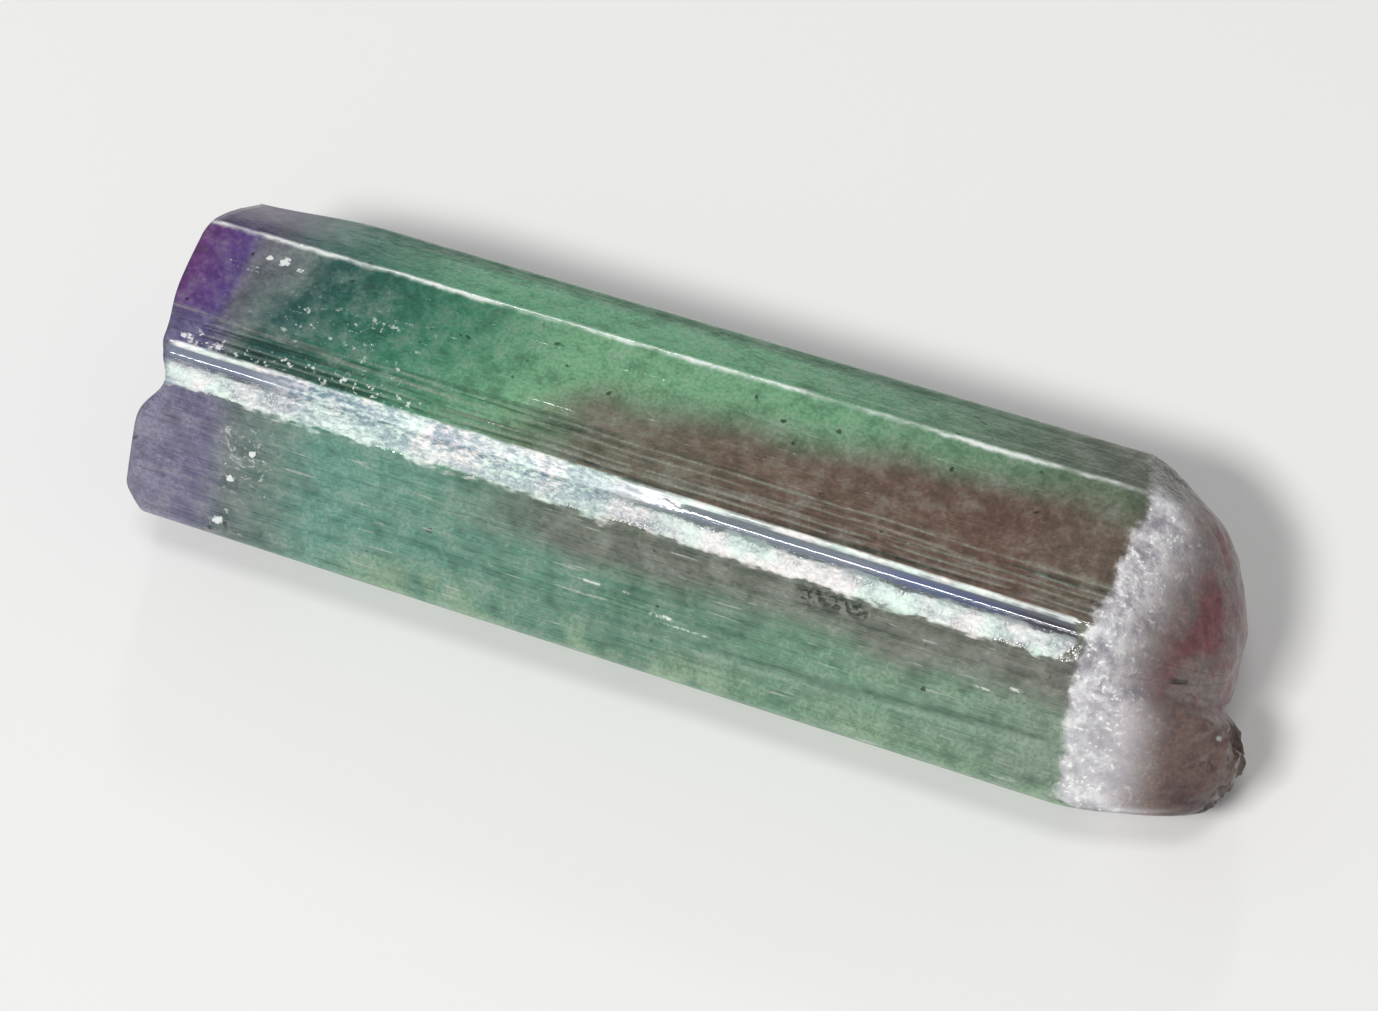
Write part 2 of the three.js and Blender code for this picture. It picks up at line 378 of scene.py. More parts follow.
def end_ring(shrink, end, x_of):
    """One ring of an end, at shrink times the section's size. The relief fades out near its rim."""
    rim = OUTLINE.ends[end]
    middle = middle_at(float(end))
    x = x_of(middle + (rim - middle) * shrink)
    place = x / SHAFT_LENGTH
    fade = smoothstep(shrink, 0.85, 1.0)
    outline = OUTLINE.at(place) + OUTLINE.normals * (relief(x) * fade)[:, None]
    middle = middle_at(place)
    return np.column_stack([x, middle + (outline - middle) * shrink])


def shaft_ring(left_x, right_x, share):
    x = mix(left_x, right_x, share)
    outline = OUTLINE.at(x / SHAFT_LENGTH) + OUTLINE.normals * relief(x)[:, None]
    return np.column_stack([x, outline])


def crystal_rings():
    """All rings from the middle of the broken end to the middle of the tip.

    Each point also has its rise, the millimetres beyond the shoulder, and its share of the way in
    over the broken end.
    """
    shrinks_left = (np.arange(1, BREAK_RINGS + 1) / BREAK_RINGS) ** BREAK_CROWDING
    shrinks_right = 1 - (np.arange(TIP_RINGS) / TIP_RINGS) ** TIP_CROWDING
    left = [end_ring(shrink, 0, broken_x) for shrink in shrinks_left]
    right = [end_ring(shrink, 1, tip_x) for shrink in shrinks_right]
    shares = np.linspace(0, 1, SHAFT_RINGS + 1)[1:-1]
    shaft = [shaft_ring(left[-1][:, 0], right[0][:, 0], share) for share in shares]
    rings = np.array([*left, *shaft, *right])
    broken = np.zeros(rings.shape[:2])
    broken[:BREAK_RINGS] = 1 - shrinks_left[:, None]
    return rings, rings[..., 0] - right[0][:, 0], broken


def lumps(x, y, z, height, waves):
    return height * wave(x * waves, y * waves, z * waves)


def tip_relief(x, y, z, rises):
    """Growth lumps and a seam on the tip, sugar on its belt, and chips off the end of its beak."""
    below = below_band(np.stack([y, z], axis=-1), 1)
    on_tip = smoothstep(rises, 0.0, 0.6)
    on_belt = on_tip * (1 - smoothstep(rises, 1.9, 2.6))
    on_beak = smoothstep(rises, 3.4, 4.8) * smoothstep(below, *BEAK_SIDE)
    grown = lumps(x, y, z, 0.07, 0.8) + lumps(x, y, z, 0.05, 2.1)
    seam = -0.09 * bell(below + 0.05, 0.14)
    sugar = lumps(x, y, z, 0.03, 5.0)
    chips = 0.1 - 0.34 * chipped(x, y, z, 0.75) - 0.08 * chipped(x, y, z, 0.3)
    return on_tip * (grown + seam) + on_belt * sugar + on_beak * chips


def break_relief(y, z, broken):
    """A shelly break over the left end: low swells, and flat chips of two sizes."""
    level = np.zeros_like(y)
    swells = 0.16 * wave(y * 0.35 + 4, z * 0.35, level) + 0.04 * wave(y * 1.4, z * 1.4 + 9, level)
    chips = 0.3 * chipped(level, y, z, 2.6) + 0.1 * chipped(level + 1, y, z, 0.8)
    return (swells + chips) * smoothstep(broken, 0.0, 0.15)


def skin(rings):
    """A closed mesh over the rings: quads between them and a fan over the middle of each end."""
    ring_count, count = rings.shape[:2]
    vertices = [*rings.reshape(-1, 3), rings[0].mean(axis=0), rings[-1].mean(axis=0)]
    step = np.arange(count)
    after = (step + 1) % count
    faces = []
    for row in range(ring_count - 1):
        base = row * count
        quads = np.column_stack([base + step, base + count + step, base + count + after, base + after])
        faces += quads.tolist()
    last = (ring_count - 1) * count
    first_middle = ring_count * count
    faces += np.column_stack([np.full(count, first_middle), step, after]).tolist()
    faces += np.column_stack([np.full(count, first_middle + 1), last + after, last + step]).tolist()
    return np.array(vertices), faces


def add_attribute(mesh, name, values):
    attribute = mesh.attributes.new(name, "FLOAT", "POINT")
    attribute.data.foreach_set("value", np.asarray(values, dtype=np.float32))


def place_on_frame(vertices):
    """Millimetres to metres, with the box's middle over the CAD solid's and the rest on its floor."""
    low, high = (np.array(corner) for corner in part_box(CRYSTAL_NODE))
    vertices = vertices * MM
    shift = (low + high) / 2 - (vertices.min(axis=0) + vertices.max(axis=0)) / 2
    shift[2] = low[2] - vertices[:, 2].min()
    return vertices + shift, shift


def make_crystal(material):
    rings, rises, broken = crystal_rings()
    x, y, z = (rings[..., axis] for axis in range(3))
    rings[..., 0] = x + tip_relief(x, y, z, rises) + break_relief(y, z, broken)
    vertices, faces = skin(rings)
    placed, shift = place_on_frame(vertices)
    mesh = bpy.data.meshes.new("crystal")
    mesh.from_pydata(placed.tolist(), [], faces)
    around = np.tile(OUTLINE.around, len(rings))
    add_attribute(mesh, "along", vertices[:, 0])
    add_attribute(mesh, "around", [*around, 0, 0])
    add_attribute(mesh, "below", below_band(vertices[:, 1:], 1))
    add_attribute(mesh, "rise", [*rises.ravel(), rises[0].mean(), rises[-1].mean()])
    add_attribute(mesh, "broken", [*broken.ravel(), 1, 0])
    mesh.polygons.foreach_set("use_smooth", [True] * len(mesh.polygons))
    mesh.materials.append(material)
    crystal = add_object("crystal", mesh)
    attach(crystal, "root")
    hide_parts(CRYSTAL_NODE)
    return shift


# ---- Materials -----------------------------------------------------

# Where markings lie: millimetres along from the left end and round from the band's middle, up over
# the top positive. A line has only its place round, the white chips also their radius, and the beak's
# painted glint its place below the band instead.
PALE_LINES = (0.95, 1.2, 1.65, 1.95)
DARK_LINES = (0.86, 1.1, 1.42, 1.8)
WHITE_CHIPS = (
    (2.35, 4.6, 0.12), (2.85, 4.62, 0.2), (3.45, 4.52, 0.12),
    (2.1, 0.9, 0.17), (1.0, 0.95, 0.13), (3.1, -4.9, 0.2), (3.3, -3.3, 0.14), (3.9, -2.2, 0.09),
)
WHITE_STROKES = (
    ((14.4, 15.2), (-2.95, -2.87)), ((15.6, 16.0), (-2.92, -2.86)), ((16.7, 17.4), (-3.38, -3.25)),
    ((17.2, 18.6), (-3.55, -3.5)), ((26.6, 27.2), (-2.35, -2.28)), ((27.6, 28.0), (-2.08, -1.98)),
)
DARK_POCKET = ((31.9, 32.4), (-0.75, -0.45))
BEAK_GLINT = ((33.62, 33.74), (0.76, 0.88))
DARK_CRUMBS = ((20.9, 23.2), (-1.35, -0.75))

# The colours of the growth zones, and of the painted reflection in the band's groove, each at its
# millimetres along.
TOP_ZONES = (
    (0.0, "9c4caa"), (0.9, "8e5ab8"), (1.6, "7e5cba"), (2.0, "a4a2b0"), (3.0, "94aca6"), (3.8, "347a72"),
    (8.0, "5cb890"), (12, "aef6be"), (20, "a8eeb8"), (26, "92bc94"), (30, "888c72"),
)
UPPER_BACK_ZONES = (
    (0.0, "6c4888"), (1.8, "6a4892"), (2.6, "748494"), (3.8, "76b0a4"), (5.3, "68ba9c"),
    (9, "a2ffc6"), (17, "a8ffc4"), (22, "9cdcae"), (27, "8ea088"), (31, "8a8078"),
)
FRONT_ZONES = (
    (0.0, "b8aed0"), (2.3, "9a92bc"), (3.2, "8a9c9a"), (4.6, "8cb4a4"), (6, "8cd0ba"),
    (16, "7eb89a"), (24, "9cd0aa"), (31, "b4cab2"),
)
GROOVE_SHEEN_ZONES = (
    (3, "c8d4ee"), (6, "a4b0e2"), (17, "c8cce6"), (22.5, "ccd0ec"), (24, "98a4e0"), (26.5, "7c84bc"),
    (28, "5a5064"),
)

# The other colours of the clear crystal, of its worn and frosted places, of its painted highlights and
# painted shade, and of what is in it.
VIOLET_GREY = "948cc4"
SHADED_GREEN = "54705e"
PALE_GREEN = "bce4bc"
DARK_GREEN = "24463c"
BLOTCH_GREEN = "24453a"
PIT_GREEN = "14342a"
LINE_GREEN = "1a3a34"
CRUMB_BLACK = "14201e"
PINKISH_BROWN = "9e8a7a"
REDDISH_BROWN = "9a6a60"
GREYISH_BROWN = "968c86"
DOME_MAUVE = "a8948f"
DOME_RED = "984c58"
DOME_SHADE = "5a3c42"
BEAK_BROWN = "907067"
BEAK_SHADE = "54404c"
POCKET_BROWN = "2a1c14"
BREAK_VIOLET = "7a569c"
BREAK_PALE = "b49cc8"
STEP_PALE = "d2ecd8"
STREAK_PALE = "dcdccc"
BLOTCH_PALE = "dfe6dc"
SCRATCH_PALE = "f2f8ee"
LINE_PALE = "d8dccc"
BEAK_GLINT_WHITE = "f4f4f0"
BAND_GREY = "a4a6b8"
BAND_BLUE = "5f808c"
BAND_WARM_WHITE = "fff6f2"
BAND_COOL_WHITE = "e6faec"
SUGAR_GREY = "9c96a0"
SUGAR_WHITE = "f4f2f4"
WEAR_AND_GLINT_WHITE = "f8faf6"
UNDERSIDE_SHADE = "2c3c36"
TABLE_WHITE = "ecebe9"
FLUID_TINTS = ("dfe9e2", "ffffff")
GRAIN_TINTS = ("14201a", "2c2a22")

# The surface where it is clear and where it is wholly frosted, and what the volume absorbs.
ROUGHNESS = (0.13, 0.45)
TRANSMISSION = (0.66, 0.04)
TOURMALINE_IOR = 1.63
ABSORBED = {"Color": (0.6, 0.8, 0.7, 1), "Density": 25}


class Nodes:
    """Short calls that add shader nodes to one material."""

    def __init__(self, name):
        self.material = bpy.data.materials.new(name)
        self.material.use_nodes = True
        self.tree = self.material.node_tree
        self.shader = self.tree.nodes["Principled BSDF"]
        self.output = self.tree.nodes["Material Output"]

    def new(self, kind):
        return self.tree.nodes.new("ShaderNode" + kind)

    def link(self, value, socket):
        """Sets a socket from a node's output, a number, a vector or a colour's six-figure code."""
        if isinstance(value, bpy.types.NodeSocket):
            self.tree.links.new(value, socket)
        elif isinstance(value, str):
            socket.default_value = (*linear(value), 1)
        else:
            socket.default_value = value

    def fill(self, node, inputs):
        """Sets a node's inputs by their names or places."""
        for name, value in inputs.items():
            self.link(value, node.inputs[name])
        return node

    def attribute(self, name):
        node = self.new("Attribute")
        node.attribute_name = name
        return node.outputs["Fac"]

    def object_position(self):
        return self.new("TexCoord").outputs["Object"]

    def stretched(self, vector, scale):
        return self.fill(self.new("Mapping"), {"Vector": vector, "Scale": scale}).outputs["Vector"]

    def noise(self, vector, scale, detail=2.0, roughness=0.5, dimensions="3D"):
        node = self.new("TexNoise")
        node.noise_dimensions = dimensions
        inputs = {"Vector": vector, "Scale": scale, "Detail": detail, "Roughness": roughness}
        return self.fill(node, inputs).outputs["Fac"]

    def combine(self, x, y):
        return self.fill(self.new("CombineXYZ"), {"X": x, "Y": y}).outputs[0]

    def distance(self, a, b):
        node = self.new("VectorMath")
        node.operation = "DISTANCE"
        return self.fill(node, {0: a, 1: b}).outputs["Value"]

    def scaled(self, colour, factor):
        node = self.new("VectorMath")
        node.operation = "SCALE"
        return self.fill(node, {0: colour, "Scale": factor}).outputs["Vector"]

    def math(self, operation, *values):
        node = self.new("Math")
        node.operation = operation
        return self.fill(node, dict(enumerate(values))).outputs[0]

    def times(self, *values):
        result = values[0]
        for value in values[1:]:
            result = self.math("MULTIPLY", result, value)
        return result

    def plus(self, a, b):
        return self.math("ADD", a, b)

    def either(self, a, b):
        return self.math("MAXIMUM", a, b)

    def less(self, a):
        return self.math("SUBTRACT", 1.0, a)

    def smooth(self, value, low, high, to_low=0.0, to_high=1.0):
        """Eases from to_low to to_high as value goes from low to high."""
        node = self.new("MapRange")
        node.interpolation_type = "SMOOTHSTEP"
        inputs = {"Value": value, "From Min": low, "From Max": high, "To Min": to_low, "To Max": to_high}
        return self.fill(node, inputs).outputs[0]

    def between(self, value, low, high, edge):
        """1 where value lies between low and high, easing off over edge on both sides."""
        rising = self.smooth(value, low - edge, low + edge)
        falling = self.smooth(value, high - edge, high + edge, 1.0, 0.0)
        return self.times(rising, falling)

    def ramp(self, value, stops):
        """A row of colours, each at its own value."""
        low, high = stops[0][0], stops[-1][0]
        share = self.fill(self.new("MapRange"), {"Value": value, "From Min": low, "From Max": high})
        node = self.fill(self.new("ValToRGB"), {"Fac": share.outputs[0]})
        elements = node.color_ramp.elements
        while len(elements) < len(stops):
            elements.new(1.0)
        for element, (place, colour) in zip(elements, stops):
            element.position = (place - low) / (high - low)
            element.color = (*linear(colour), 1)
        return node.outputs["Color"]

    def blend(self, share, a, b):
        node = self.new("Mix")
        node.data_type = "RGBA"
        return self.fill(node, {"Factor": share, 6: a, 7: b}).outputs[2]

    def bump(self, height, distance):
        return self.fill(self.new("Bump"), {"Height": height, "Distance": distance}).outputs["Normal"]


def linear(code):
    """A colour's linear values from its six-figure code."""
    values = [int(code[i:i + 2], 16) / 255 for i in (0, 2, 4)]
    return tuple(v / 12.92 if v <= 0.04045 else ((v + 0.055) / 1.055) ** 2.4 for v in values)


class CrystalNodes(Nodes):
    """Nodes for the crystal: where each point lies on it, in millimetres, and the shared noises."""

    def __init__(self, name):
        super().__init__(name)
        self.along = self.attribute("along")
        self.around = self.attribute("around")
        self.below = self.attribute("below")
        self.rise = self.attribute("rise")
        self.surface = self.combine(self.along, self.around)
        self.position = self.stretched(self.object_position(), (1 / MM, 1 / MM, 1 / MM))
        self.broken = self.smooth(self.attribute("broken"), 0.0, 0.12)
        self.shaft = self.times(self.smooth(self.rise, 0.25, 0.0), self.less(self.broken))
        self.on_tip = self.smooth(self.rise, 0.6, 1.8)
        self.wobble = self.math("SUBTRACT", self.noise(self.position, 0.26, 1), 0.5)
        self.patches = self.noise(self.position, 0.5, 2, 0.65)
        self.grain = self.noise(self.position, 3.6, 2, 0.7)
        self.speckle = self.noise(self.position, 9.0, 0)
        self.blotches = self.noise(self.position, 1.3, 3, 0.72)
        self.streaks = self.flat_noise((0.14, 3.2), 3, 0.62)
        self.coarse = self.flat_noise((0.6, 1.4), 3, 0.72)

    def uneven(self, noise, amount):
        """A shared noise as a swing of about amount to both sides of zero."""
        return self.math("MULTIPLY_ADD", noise, 4 * amount, -2 * amount)

    def flat_noise(self, scale, detail, roughness=0.5):
        """Noise over the unrolled faces, with its own scale along and around them."""
        return self.noise(self.stretched(self.surface, (*scale, 1.0)), 1.0, detail, roughness, "2D")

    def patch(self, along, around, edge):
        """1 inside a stretch of the faces, given as (low, high) pairs in millimetres."""
        return self.times(self.between(self.along, *along, edge), self.between(self.around, *around, edge))


def growth_zones(n):
    """The colour of each face along the prism, from the violet left end to the tip."""
    wavy_along = n.plus(n.along, n.times(n.wobble, 0.5))
    slant = n.times(n.smooth(n.around, 1.0, 5.0, 0.9, -0.5), n.smooth(n.along, 1.8, 3.4))
    slanted = n.plus(wavy_along, slant)
    greyer = n.times(n.smooth(n.around, 2.5, 1.5), n.smooth(n.along, 2.6, 1.8))
    top = n.blend(n.times(greyer, 0.75), n.ramp(slanted, TOP_ZONES), VIOLET_GREY)
    outer_edge = n.times(n.smooth(n.around, RIDGE + 1.3, RIDGE + 1.8), n.between(n.along, 5, 24, 3))
    upper_back = n.blend(n.times(outer_edge, 0.6), n.ramp(wavy_along, UPPER_BACK_ZONES), SHADED_GREEN)
    pale_edge = n.times(n.smooth(n.around, -3.9, -4.9), n.smooth(n.along, 5, 9))
    pale_edge = n.times(pale_edge, n.smooth(n.patches, 0.4, 0.6))
    front = n.blend(pale_edge, n.ramp(wavy_along, FRONT_ZONES), PALE_GREEN)
    colour = n.blend(n.smooth(n.around, RIDGE - 0.3, RIDGE + 0.2), top, upper_back)
    return n.blend(n.smooth(n.around, -0.4, -0.9), colour, front)


def pink_zone(n, colour):
    """The pinkish brown growth on both sides of the band, widening towards the tip."""
    wavy_around = n.plus(n.around, n.times(n.wobble, 1.6))
    wavy_along = n.plus(n.along, n.times(n.wobble, 3.0))
    reach = n.plus(n.smooth(n.along, 9, 14, 0.8, 3.6), n.smooth(n.along, 15, 27, 0.0, 0.9))
    beyond = n.math("SUBTRACT", wavy_around, reach)
    on_top = n.times(n.smooth(wavy_along, 9, 14), n.smooth(beyond, 0.9, -0.9), n.smooth(n.around, 0.55, 0.7))
    on_front = n.times(
        n.smooth(wavy_along, 9, 14), n.smooth(wavy_around, -2.9, -1.6), n.smooth(n.around, 0.2, -0.5),
    )
    near_tip = n.smooth(n.along, 29, 26, 0.4, 1.0)
    deeper = n.times(n.smooth(n.along, 12, 20), n.smooth(beyond, 0.0, -1.2), near_tip)
    colour = n.blend(n.times(on_top, 0.95), colour, n.blend(deeper, PINKISH_BROWN, REDDISH_BROWN))
    return n.blend(n.times(on_front, 0.85), colour, GREYISH_BROWN)


def dome_colour(n):
    """The tip under its frost: mauve, redder in patches further out, browner and darker on the beak."""
    on_beak = n.smooth(n.below, *BEAK_SIDE)
    mottled = n.plus(n.patches, n.uneven(n.blotches, 0.16))
    redder = n.times(n.smooth(mottled, 0.32, 0.6), n.smooth(n.rise, 1.6, 3.0), n.less(on_beak))
    dome = n.blend(n.times(redder, 0.9), DOME_MAUVE, DOME_RED)
    dome = n.blend(n.times(on_beak, n.smooth(n.rise, 2.2, 3.2), 0.9), dome, BEAK_BROWN)
    low_beak = n.times(n.smooth(n.rise, 2.8, 3.8), n.smooth(n.below, 1.6, 3.4))
    dome = n.blend(n.times(low_beak, 0.85), dome, BEAK_SHADE)
    dome = n.blend(n.smooth(n.blotches, 0.5, 0.36, 0.0, 0.4), dome, DOME_SHADE)
    dome = n.scaled(dome, n.smooth(n.grain, 0.35, 0.65, 0.82, 1.16))
    # Painted highlight: a small white glint on the beak.
    along, below = BEAK_GLINT
    beak_glint = n.times(n.between(n.along, *along, 0.04), n.between(n.below, *below, 0.04))
    dome = n.blend(beak_glint, dome, BEAK_GLINT_WHITE)
    return n.blend(n.times(n.patch(*DARK_POCKET, 0.08), 0.85), dome, POCKET_BROWN)


def broken_colour(n):
    """The fresh break at the left end: violet, paler along its ridges."""
    return n.blend(n.smooth(n.blotches, 0.35, 0.7), BREAK_VIOLET, BREAK_PALE)


def lines_at(n, places):
    """Fine lines along the top face, parallel to the band, broken here and there."""
    lines = 0.0
    wavy_around = n.plus(n.around, n.times(n.wobble, 0.2))
    for place in places:
        lines = n.either(n.between(wavy_around, place - 0.03, place + 0.03, 0.05), lines)
    return n.times(lines, n.smooth(n.coarse, 0.3, 0.55))


def front_step(n, colour):
    """A growth step low on the front face near the tip: a pale line with a dark one above it."""
    rising = n.plus(n.around, n.plus(n.smooth(n.along, 20, 30, 0.4, -0.1), n.times(n.wobble, 0.2)))
    where = n.times(n.smooth(n.along, 15, 21), n.smooth(n.rise, 0.2, -0.6))
    colour = n.blend(n.times(n.between(rising, -3.5, -3.34, 0.1), where, 0.4), colour, DARK_GREEN)
    return n.blend(n.times(n.between(rising, -3.76, -3.66, 0.12), where, 0.55), colour, STEP_PALE)


def streaked(n, colour):
    """Lengthwise streaks, blotches, dark pits and fine lines in the prism faces."""
    on_front = n.smooth(n.around, -0.5, -0.8)
    near_band = n.between(n.around, 0.4, 2.1, 0.4)
    lined = n.either(n.either(n.times(near_band, 1.6), n.times(on_front, 0.5)), 0.15)
    colour = n.blend(n.times(n.smooth(n.streaks, 0.46, 0.32), lined, 0.45), colour, DARK_GREEN)
    colour = n.blend(n.times(n.smooth(n.streaks, 0.54, 0.68), lined, 0.3), colour, STREAK_PALE)
    colour = n.blend(n.smooth(n.blotches, 0.58, 0.2, 0.0, 0.55), colour, BLOTCH_GREEN)
    colour = n.blend(n.smooth(n.blotches, 0.44, 0.8, 0.0, 0.4), colour, BLOTCH_PALE)
    crumbly = n.times(n.patch(*DARK_CRUMBS, 0.25), n.smooth(n.grain, 0.56, 0.46))
    colour = n.blend(n.times(crumbly, 0.85), colour, CRUMB_BLACK)
    pits = n.smooth(n.noise(n.position, 2.2, 1), 0.26, 0.2)
    colour = n.blend(n.times(pits, 0.8), colour, PIT_GREEN)
    scratches = n.times(n.smooth(n.flat_noise((0.45, 7.0), 1), 0.7, 0.78), n.smooth(n.coarse, 0.45, 0.55))
    scratches = n.times(scratches, on_front, n.smooth(n.along, 3, 5, 0.2, 0.7))
    colour = n.blend(scratches, colour, SCRATCH_PALE)
    colour = front_step(n, colour)
    dark = n.times(lines_at(n, DARK_LINES), n.smooth(n.along, 1.0, 1.6), n.smooth(n.along, 6, 10, 0.7, 0.35))
    colour = n.blend(dark, colour, LINE_GREEN)
    # The pale lines are partly painted highlight, for light caught on the growth lines' ridges.
    pale = n.times(lines_at(n, PALE_LINES), n.smooth(n.along, 4, 9, 0.45, 0.7))
    return n.blend(pale, colour, LINE_PALE)


def bevel_frost(n):
    """The sugary belt around the tip: ragged at the shoulder, and fading out over the dome."""
    uneven = n.plus(n.uneven(n.grain, 0.25), n.uneven(n.blotches, 0.3))
    wider_below = n.smooth(n.around, 0.0, -1.5, 0.0, 0.5)
    far_edge = n.math("SUBTRACT", n.plus(n.rise, uneven), wider_below)
    near_edge = n.plus(n.rise, n.uneven(n.blotches, 0.14))
    in_front = n.smooth(n.around, RIDGE + 1.2, RIDGE - 0.2, 0.25, 1.0)
    return n.times(n.smooth(near_edge, -0.05, 0.3), n.smooth(far_edge, 2.8, 0.8), in_front)


def band_middle(n):
    """The stretch of the band that is mottled instead of grooved."""
    return n.times(n.smooth(n.along, 2.5, 5.5), n.smooth(n.along, 18, 13))


def on_band(n):
    """1 along the band, which has a round end just short of the shoulder."""
    rounded = n.plus(n.rise, n.times(n.math("ABSOLUTE", n.around), 0.6))
    return n.times(n.smooth(rounded, 0.1, -0.1), n.smooth(n.along, 0.4, 0.9), n.less(n.broken))


def band_frost(n):
    """The band's pale lower lip and thin upper edge, and its mottled middle stretch. The upper edge is
    frosted and partly a painted highlight.
    """
    ragged = n.plus(n.around, n.plus(n.uneven(n.coarse, 0.22), n.times(n.wobble, 0.25)))
    lip = n.times(n.between(ragged, -0.68, 0.06, 0.1), n.smooth(n.coarse, 0.35, 0.6, 0.6, 1.0))
    mottled = n.times(n.between(n.around, -0.6, 0.66, 0.1), band_middle(n))
    upper_edge_frost_and_highlight = n.times(n.between(n.around, 0.5, 0.7, 0.04), n.smooth(n.coarse, 0.35, 0.6, 0.5, 1.0))
    return n.times(n.either(n.either(lip, mottled), upper_edge_frost_and_highlight), on_band(n))


def groove_sheen(n):
    """Painted reflection: a bluish sheen on the glassy groove under the band's upper edge, with pale streaks
    in it.
    """
    streaky = n.smooth(n.streaks, 0.58, 0.48, 0.3, 0.8)
    return n.times(n.between(n.around, 0.1, 0.5, 0.05), on_band(n), streaky)


def crumb_frost(n):
    """White crumbs, chips and a short crack in the faces towards the left end."""
    specks = n.noise(n.position, 4.6, 2, 0.6)
    above_band = n.patch((1.0, 8.5), (0.7, 1.3), 0.2)
    on_top = n.times(n.patch((3.5, 8.0), (1.4, 4.0), 0.8), n.smooth(n.coarse, 0.45, 0.6))
    low_front = n.times(n.patch((2.8, 4.6), (-5.2, -0.9), 0.4), n.smooth(n.coarse, 0.48, 0.58))
    towards_left = n.either(n.either(above_band, n.times(on_top, 0.8)), n.times(low_front, 0.6))
    where = n.either(towards_left, n.times(n.shaft, 0.1))
    scattered = n.times(n.smooth(specks, 0.57, 0.67), where)
    contour = n.math("ABSOLUTE", n.uneven(n.flat_noise((0.9, 0.9), 2, 0.6), 0.5))
    crack = n.times(n.smooth(contour, 0.055, 0.015), n.patch((2.8, 4.2), (-3.2, -1.2), 0.2))
    result = n.either(scattered, n.times(crack, n.smooth(specks, 0.4, 0.55, 0.0, 0.5)))
    for along, around, radius in WHITE_CHIPS:
        ragged = n.plus(n.distance(n.surface, n.combine(along, around)), n.uneven(specks, 0.12))
        result = n.either(result, n.smooth(ragged, radius, radius * 0.5))
    strokes = 0.0
    for along, around in WHITE_STROKES:
        strokes = n.either(n.patch(along, around, 0.06), strokes)
    return n.either(result, n.times(strokes, n.smooth(specks, 0.4, 0.56)))


def ridge_wear_and_highlight(n):
    """The pale line along the ridge behind the top face, with a fainter one behind it: partly rubbed wear,
    partly painted highlight.
    """
    ragged = n.plus(n.around, n.plus(n.times(n.wobble, 0.1), n.uneven(n.blotches, 0.06)))
    line = n.between(ragged, RIDGE - 0.15, RIDGE + 0.03, 0.1)
    line = n.times(line, n.smooth(n.patches, 0.3, 0.6, 0.5, 1.0))
    behind = n.times(n.between(ragged, RIDGE + 0.36, RIDGE + 0.42, 0.08), n.smooth(n.along, 9, 18), 0.45)
    return n.times(n.either(line, behind), n.shaft, n.smooth(n.coarse, 0.3, 0.6, 0.45, 1.0))


def underside(n):
    """1 on the shaft's faces turned to the table."""
    turned = n.either(n.smooth(n.around, -5.1, -5.6), n.smooth(n.around, 9.5, 10.5))
    return n.times(turned, n.less(n.broken), n.smooth(n.rise, 2.0, 0.4))


def band_colour(n):
    """White sugar, grainy and bluish along the mottled middle."""
    grains = n.plus(n.flat_noise((3.5, 8.0), 2, 0.7), n.uneven(n.coarse, 0.2))
    upper = n.smooth(n.around, -0.5, 0.1, 0.75, 1.0)
    white = n.blend(n.smooth(n.patches, 0.4, 0.6), BAND_WARM_WHITE, BAND_COOL_WHITE)
    bluish = n.times(n.smooth(grains, 0.8, 0.25), upper, n.smooth(band_middle(n), 0.0, 1.0, 0.4, 1.0))
    return n.blend(bluish, white, BAND_BLUE)


def belt_colour(n):
    """Grey to white sugar, with painted light making it whiter low on the front."""
    sugar = n.smooth(n.plus(n.blotches, n.uneven(n.grain, 0.14)), 0.25, 0.75)
    # Painted light: the belt is whiter low on the front, where it faces the lamps.
    low_front = n.smooth(n.around, -0.8, -2.5, 0.0, 0.2)
    sugar = n.either(sugar, n.plus(n.times(sugar, 0.65), low_front))
    return n.blend(sugar, SUGAR_GREY, SUGAR_WHITE)


def clear_colour(n):
    """The crystal without its wear and frost: its faces, its tip and its break, finely speckled."""
    faces = streaked(n, pink_zone(n, growth_zones(n)))
    clear = n.blend(n.broken, n.blend(n.on_tip, faces, dome_colour(n)), broken_colour(n))
    return n.scaled(clear, n.smooth(n.speckle, 0.3, 0.7, 1.02, 1.27))


def surface_colour(n, belt, band, crumbs, ridge):
    """Every colour over the clear crystal's: the band, its groove's painted reflection, the frost, the white
    wear with painted highlights and glints, and painted shade on the faces turned to the table.
    """
    under_band = n.times(n.between(n.around, -0.55, 0.62, 0.08), on_band(n), 0.8)
    colour = n.blend(under_band, clear_colour(n), BAND_GREY)
    colour = n.blend(groove_sheen(n), colour, n.ramp(n.along, GROOVE_SHEEN_ZONES))
    colour = n.blend(n.times(belt, 0.92), colour, belt_colour(n))
    colour = n.blend(n.times(band, 0.9), colour, band_colour(n))
    # Painted glints: white highlight specks painted over the sugary belt.
    glints = n.times(n.smooth(n.plus(n.grain, n.uneven(n.speckle, 0.1)), 0.6, 0.68), belt)
    white = n.either(n.either(n.times(crumbs, 0.8), ridge), glints)
    colour = n.blend(white, colour, WEAR_AND_GLINT_WHITE)
    # Painted shade: the faces turned to the table are darkened.
    return n.blend(n.times(underside(n), 0.7), colour, UNDERSIDE_SHADE)


